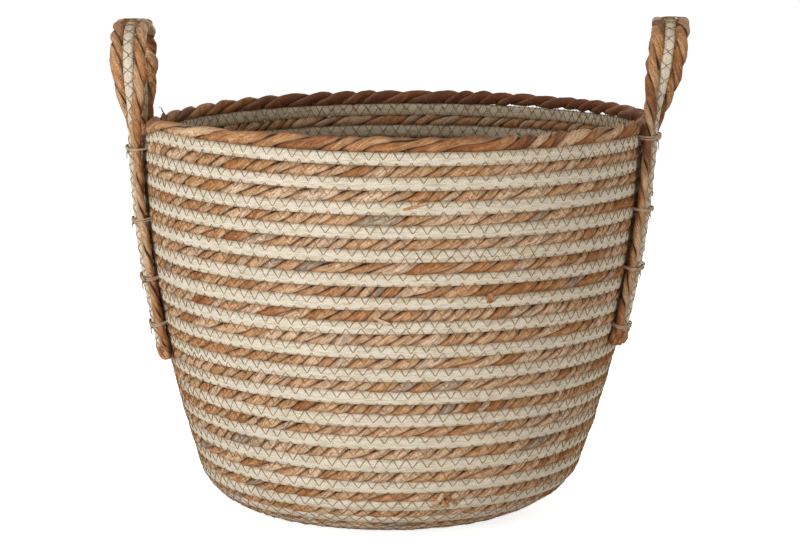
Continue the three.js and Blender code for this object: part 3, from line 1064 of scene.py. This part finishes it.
def build_strap_end(line, name, way):
    """Husk leaves wrapped round an end of a strap, folded in or flaring"""
    chance = random_table(700 + way)
    share = np.linspace(0, 1, 12)
    cords = []
    for index in range(wrap_leaves):
        around = 2 * pi * (index + 0.25 * chance[index]) / wrap_leaves + 0.5 * share
        up_the_leg = wrap_length * (1 + 0.2 * chance[index + 20]) * (1 - share)
        length = up_the_leg if way < 0 else line.length - up_the_leg
        spread = 1 + line.handle["end_flare"] * share ** 3 * (1 + 0.5 * chance[index + 40])
        half_across = strap_rope_offset + strap_rope_width / 2 - wrap_radius
        half_out = strap_rope_thickness / 2 - wrap_radius / 2
        path = line.place(length, half_across * np.cos(around) * spread, half_out * np.sin(around) * spread)
        thickness = wrap_radius * np.sqrt(np.clip(1 - (2 * share - 1) ** 6, 0.02, 1))
        cords.append(cord_rings(path, thickness, 8))
    cords_mesh(f"{name}_end_leaves", cords, husk, tone=wrap_tone)


def build_handle(handle):
    line = StrapLine(handle)
    seed = 200 if handle["side"] < 0 else 300
    outer = StrapRope(line, 1, seed)
    inner = StrapRope(line, -1, seed + 50)
    name = handle["name"]
    outer.build(f"{name}_handle_outer_rope")
    inner.build(f"{name}_handle_inner_rope")
    build_strap_tape(line, f"{name}_handle_tape")
    for rope, way, where in ((outer, 1, "outer"), (inner, -1, "inner")):
        for face, side in ((1, "out"), (-1, "in")):
            points = strap_stitch_points(line, rope, way, face)
            stitch_mesh(f"{name}_strap_stitches_{where}_{side}side", *points)
    for leg, way in (("front", -1), ("back", 1)):
        build_strap_end(line, f"{name}_{leg}", way)
        for index, share in enumerate(handle["tie_shares"]):
            spot = TieSpot(line, way, rim_height - share * handle["leg_drop"])
            build_tie(f"{name}_{leg}_tie_{index + 1}", spot, seed + 7 * index + way)


# Ties: twine wound a little over twice round the strap and through the wall, and knotted on the strap
twine_radius = 0.68 * mm
tie_winds = 2.35
tie_start = 0.9
tie_pinch = 0.87
tie_spread = 1.15 * mm
knot_size = 0.62 * mm


def cord_rings(path, radius, sides=6):
    """Rings of points round a path, with one radius or the radius at each of its points"""
    forward = unit(np.gradient(path, axis=0))
    side = np.cross(forward[0], [0.31, 0.47, 0.83])
    angle = ring_angles(sides)
    rings = []
    for place, ahead, thickness in zip(path, forward, np.broadcast_to(radius, len(path))):
        side = unit(side - ahead * np.dot(side, ahead))
        around = np.cos(angle)[:, None] * side + np.sin(angle)[:, None] * np.cross(ahead, side)
        rings.append(place + thickness * around)
    return np.array(rings)


def faces_of(cords, capped):
    """The faces of several cords whose points follow each other"""
    faces, start = [], 0
    for rings in cords:
        count, sides = rings.shape[:2]
        faces.append(tube_faces(count, sides, capped) + start)
        start += count * sides
    return np.concatenate(faces)


def points_of(cords):
    return np.concatenate([rings.reshape(-1, 3) for rings in cords])


def cords_mesh(name, cords, material, node=None, tone=0):
    """Several cords, each a row of rings, in one mesh"""
    points = points_of(cords)
    strand = []
    for index, rings in enumerate(cords):
        length = running_sum(np.linalg.norm(np.diff(rings.mean(axis=1), axis=0), axis=1))
        strand.append(together(np.arange(rings.shape[1]) * 0.6, length[:, None] / mm, 7.0 * index))
    values = {"strand": points_of(strand), "pressed": np.zeros(len(points)),
              "tone": np.full(len(points), tone)}
    finish_piece(add_mesh(name, points, faces_of(cords, True), values, material), node)


def hairs_mesh(name, cords, material):
    """Hairs too thin to need closed ends, in one mesh"""
    points = points_of(cords)
    finish_piece(add_mesh(name, points, faces_of(cords, False), {"strand": points / mm}, material))


class TieSpot:
    """Where a tie goes round a leg of a strap and through a joint of the wall"""

    def __init__(self, line, way, height):
        handle = line.handle
        leg = turned_about(np.array([1, way * math.tan(leg_azimuth), 0]), handle)
        self.azimuth = math.atan2(leg[1], leg[0])
        self.along = self.nearest_joint(np.interp(height, line_height[base_start:], line_length[base_start:]))
        tilt = np.interp(self.along, line_length, line_tilt)
        radius, middle_height = wall_section(self.along, 0)
        outwards = np.array([math.cos(self.azimuth), math.sin(self.azimuth), 0])
        upwards = np.array([0, 0, 1])
        self.middle = outwards * radius + upwards * middle_height
        self.out = outwards * math.sin(tilt) - upwards * math.cos(tilt)
        self.up = outwards * math.cos(tilt) + upwards * math.sin(tilt)
        self.across = np.cross(self.up, self.out) * way * handle["side"]
        points = turned_about(line.grid_points, handle) - self.middle
        on_this_leg = np.sign(line.grid_points[:, 1]) == way
        points = points[on_this_leg][::-1 if way > 0 else 1]
        self.strap = np.interp(0, points @ self.up, points @ self.out)

    def nearest_joint(self, wanted):
        """Length along the wall line of the joint that is nearest to a wanted length"""
        ahead = np.mod(self.azimuth - spiral_end_azimuth, 2 * pi) / (2 * pi)
        top = wall_length - pitch * ahead
        half = (rope_width + strand_gap) / 2
        turns = np.floor((top - wanted) / pitch) + np.array([0, 0, 1, 1])
        joints = top - turns * pitch + half * np.array([-1, 1, -1, 1])
        return joints[np.argmin(np.abs(joints - wanted))]

    def place(self, across, out, up):
        """Points at distances across the strap, out of the wall and up it"""
        return askew(self.middle + across[:, None] * self.across + out[:, None] * self.out
                     + up[:, None] * self.up)


def squarish(wave, power):
    """A sine or cosine with its peaks made broad"""
    return np.sign(wave) * np.abs(wave) ** power


def build_tie(name, spot, seed):
    chance = random_table(seed + 900)
    half_width = tie_pinch * (strap_rope_offset + strap_rope_width / 2) + twine_radius + 0.3 * mm
    top = spot.strap + strap_rope_thickness / 2 + twine_radius + 0.45 * mm
    bottom = -(rope_thickness / 2 + twine_radius + 0.4 * mm)
    share = np.linspace(0, 1, 100)
    turn = 2 * pi * tie_winds * share + tie_start
    out = (top + bottom) / 2 + (top - bottom) / 2 * squarish(np.sin(turn), 0.45)
    tucked = 1 - 0.3 * smoothstep((spot.strap - mm - out) / (5 * mm))
    across = half_width * tucked * squarish(np.cos(turn), 0.6)
    out = out + 0.35 * mm * wander(share, 0.06, seed + 910)
    up = tie_spread * (1 + 0.3 * chance[0]) * tie_winds * (share - 0.5)
    up = up + 0.5 * mm * chance[1] * np.cos(turn)
    up = up + 0.3 * mm * wander(share, 0.08, seed + 920)
    cords = [cord_rings(spot.place(across, out, up), twine_radius)]
    knot_across = half_width * (0.55 + 0.35 * chance[2])
    angle = np.linspace(0, 2 * pi, 40)
    knot = spot.place(knot_across + knot_size * (np.sin(angle) + 2 * np.sin(2 * angle)),
                      top + 0.5 * mm - 1.3 * knot_size * np.sin(3 * angle),
                      knot_size * (np.cos(angle) - 2 * np.cos(2 * angle)))
    cords.append(cord_rings(knot, twine_radius * 0.95))
    tail = np.linspace(0, 1, 12)
    for index in (0, 1):
        length = (6 + 3 * chance[3 + index]) * mm
        path = spot.place(knot_across + (index - 0.3) * length * 0.6 * tail,
                          top + 0.6 * mm + 1.1 * mm * np.sin(2.6 * tail),
                          (index * 0.6 - 1) * length * tail ** 1.3)
        cords.append(cord_rings(path, twine_radius * (0.95 - 0.35 * tail)))
    cords_mesh(f"{name}_twine", cords, tie_twine, name)


def wall_bit(azimuth, below, out):
    """Points on the wall, by the azimuth in degrees and millimetres below the rim and outwards"""
    return wall_place(wall_length - below * mm, out * mm, np.radians(azimuth))


# Loose bits of husk on the wall: the azimuth of the middle in degrees, how far it lies below the
# rim, the length and width, all in millimetres, how steeply the bit rises to the right in degrees,
# and the tone
bit_foot = 3.4
bit_rise = 1.6
bit_thickness = 0.9 * mm
bit_span = 4
husk_bits = {
    "tab": {"azimuth": 292, "below": 120, "length": 8, "width": 5.6, "slant": 90, "tone": -0.8},
    "strip": {"azimuth": 274.5, "below": 47.5, "length": 20, "width": 2.2, "slant": 16, "tone": -0.2},
    "splice_upper": {"azimuth": 283.7, "below": 281.5, "length": 16, "width": 4, "slant": 55, "tone": 0.5},
    "splice_middle": {"azimuth": 286, "below": 283.5, "length": 16, "width": 3.4, "slant": -53, "tone": -0.4},
    "splice_lower": {"azimuth": 285, "below": 286, "length": 13, "width": 3, "slant": 33, "tone": 0.2},
    "splice_end": {"azimuth": 288.5, "below": 282.5, "length": 14, "width": 2.6, "slant": -42, "tone": -0.7},
    "loose_leaf": {"azimuth": 267.7, "below": 135, "length": 14, "width": 3, "slant": -26, "tone": 0.6},
}


def build_husk_bit(name, azimuth, below, length, width, slant, tone):
    """A flat strip of husk that lies on the wall, its ends tucked in"""
    place = np.linspace(0, bit_span, 17)
    slant = math.radians(slant)
    way = length * (place / bit_span - 0.5)
    radius, _ = wall_section(wall_length - below * mm, 0)
    azimuth = azimuth + np.degrees(way * math.cos(slant) * mm / radius)
    below = below - way * math.sin(slant)
    out = bit_foot + bit_rise * np.sin(pi * place / bit_span)
    path = wall_bit(azimuth, below, out)
    forward = unit(np.gradient(path, axis=0))
    side = unit(np.cross(forward, wall_bit(azimuth, below, out + 1) - path))
    lift = np.cross(side, forward)
    angle = ring_angles(8)
    torn = 1 + 0.15 * wander(place, 1.3, 83)
    across = (width / 2 * mm * torn * end_round(place, bit_span, 0.3))[:, None] * np.cos(angle)
    rings = (path[:, None] + side[:, None] * across[..., None]
             + lift[:, None] * (bit_thickness / 2 * np.sin(angle))[:, None])
    values = {"strand": together(across / mm, 3.5 * place[:, None], 5.0), "tone": np.full(across.shape, tone)}
    add_strand(f"husk_{name}", rings, values, husk)


fibre_count = 260


def build_fibres():
    """Short hairs of husk that stand off the wall's rope"""
    chance = np.random.default_rng(5).uniform(0, 1, (fibre_count, 6))
    share = np.linspace(0, 1, 5)
    cords = []
    for start, round_place, reach, rise, turn, thickness in chance:
        length = start * rows.length[-1] * 0.8 + share * (3 + 5 * reach) * mm
        turns = rows.turns_at(length)
        half_out, half_across, shift, _ = rope_sizes(turns, rope_along(turns))
        theta = (round_place - 0.5) * 2.2 + share * (turn - 0.5) * 1.4
        lifted = 0.9 + 0.5 * rise * share ** 1.5
        path = wall_place(rope_along(turns) + half_across * lifted * np.sin(theta) + shift,
                          half_out * lifted * np.cos(theta), row_azimuth(turns))
        cords.append(cord_rings(path, (0.1 + 0.1 * thickness) * mm * (1.2 - 0.6 * share), 3))
    return cords


def build_whisker():
    """A bent end of husk that sticks up from the back rim by the left handle"""
    azimuths = np.array([160.5, 161.5, 162.7, 164, 165.5])
    depths = np.array([13.5, 9, 6.5, 4.5, 3.5])
    outs = np.array([0, 1.5, 1, -0.5, -0.5])
    radii = np.array([0.7, 0.6, 0.5, 0.42, 0.5])
    return cord_rings(wall_bit(azimuths, depths, outs), radii * mm)


heart_start = 1.2 * mm
heart_growth = 4.6 * mm
heart_curl = 3.4
heart_radius = 3.1 * mm
heart_tone = -0.4


def build_heart():
    """The two strands' folded ends, curled round each other in the middle of the base"""
    share = np.linspace(0, 1, 16)
    sides = 10
    for index in (0, 1):
        angle = pi * index + heart_curl * share
        radius = heart_start + heart_growth * share
        path = askew(together(radius * np.cos(angle), radius * np.sin(angle), rope_thickness / 2))
        rings = cord_rings(path, heart_radius * end_round(share, 1, 0.3) + 0.1 * mm, sides)
        values = {"strand": together(np.arange(sides) * 1.9, 20 * share[:, None], 9.0),
                  "tone": np.full(rings.shape[:2], heart_tone)}
        add_strand(f"husk_heart_{index + 1}", rings, values, husk)


build_wall_rope()
build_wall_tape()
for bit_name, bit in husk_bits.items():
    build_husk_bit(bit_name, **bit)
hairs_mesh("husk_hairs", build_fibres() + [build_whisker()], husk)
build_heart()
build_wall_stitches()
for one_handle in handles:
    build_handle(one_handle)


# Floor, light and camera
floor_half = 6.0
floor_glow = 0.78


def build_floor():
    """A pale floor that keeps the shadow, and glows for the camera alone"""
    nodes = Skin("floor")
    nodes.surface(0.1, Base_Color=(0.86, 0.86, 0.86, 1), Roughness=0.9)
    seen = nodes.add("ShaderNodeLightPath").outputs["Is Camera Ray"]
    glow = nodes.add("ShaderNodeEmission", {"Color": white, "Strength": nodes.times(seen, floor_glow)})
    both = nodes.add("ShaderNodeAddShader", {0: nodes.shader.outputs[0], 1: glow.outputs[0]})
    nodes.put(nodes.tree.nodes["Material Output"].inputs["Surface"], both.outputs[0])
    corners = [(-1, -1, 0), (1, -1, 0), (1, 1, 0), (-1, 1, 0)]
    floor = add_mesh("floor", floor_half * np.array(corners), [[0, 1, 2, 3]], {}, nodes.material)


def build_world():
    """Soft light from all around, which camera, mirror and glass rays see as plain white"""
    world = bpy.data.worlds.new("studio")
    bpy.context.scene.world = world
    world.use_nodes = True
    nodes = Nodes(world.node_tree)
    light = nodes.tree.nodes["Background"]
    nodes.put(light.inputs["Color"], (1.0, 0.97, 0.92, 1))
    nodes.put(light.inputs["Strength"], 0.28)
    backdrop = nodes.add("ShaderNodeBackground", {"Color": white})
    path = nodes.add("ShaderNodeLightPath").outputs
    seen = nodes.maths("MAXIMUM", path["Is Camera Ray"], path["Is Glossy Ray"])
    seen = nodes.maths("MAXIMUM", seen, path["Is Transmission Ray"])
    mix = nodes.add("ShaderNodeMixShader", {0: seen, 1: light.outputs[0], 2: backdrop.outputs[0]})
    nodes.put(nodes.tree.nodes["World Output"].inputs["Surface"], mix.outputs[0])


def add_lamp(name, place, target, size, power, colour=(1, 1, 1)):
    lamp = bpy.data.lights.new(name, "AREA")
    lamp.shape = "RECTANGLE"
    lamp.size, lamp.size_y = size
    lamp.energy = power
    lamp.color = colour
    holder = bpy.data.objects.new(name, lamp)
    bpy.context.scene.collection.objects.link(holder)
    holder.location = place
    aim = np.subtract(target, place)
    holder.rotation_euler = (math.atan2(math.hypot(aim[0], aim[1]), -aim[2]), 0,
                             math.atan2(aim[0], -aim[1]) + pi)


# The photo's camera, as fitted to the rim and the rows
image_width = 800
focal_pixels = 2963
sideways_pixels = 4.6
camera_place = (-rim_shift, -2.316, 0.586)
camera_pitch = math.radians(9.8)


def build_camera():
    camera = bpy.data.cameras.new("camera")
    camera.sensor_width = 36
    camera.lens = focal_pixels / image_width * camera.sensor_width
    camera.shift_x = sideways_pixels / image_width
    holder = bpy.data.objects.new("camera", camera)
    bpy.context.scene.collection.objects.link(holder)
    holder.location = camera_place
    holder.rotation_euler = (pi / 2 - camera_pitch, 0, 0)
    bpy.context.scene.camera = holder


build_floor()
build_world()
add_lamp("key", (-1.3, -1.6, 0.36), (0, 0, 0.17), (1.0, 0.6), 30)
add_lamp("fill", (1.5, -1.5, 0.34), (0, 0, 0.17), (0.9, 0.6), 12, (1, 0.955, 0.89))
add_lamp("back", (0.4, 2.0, 0.4), (0, 0, 0.15), (1.2, 0.6), 14)
add_lamp("top", (0, -0.1, 1.7), (0, 0, 0), (0.4, 0.4), 4)
build_camera()
bpy.context.scene.view_settings.view_transform = "Standard"
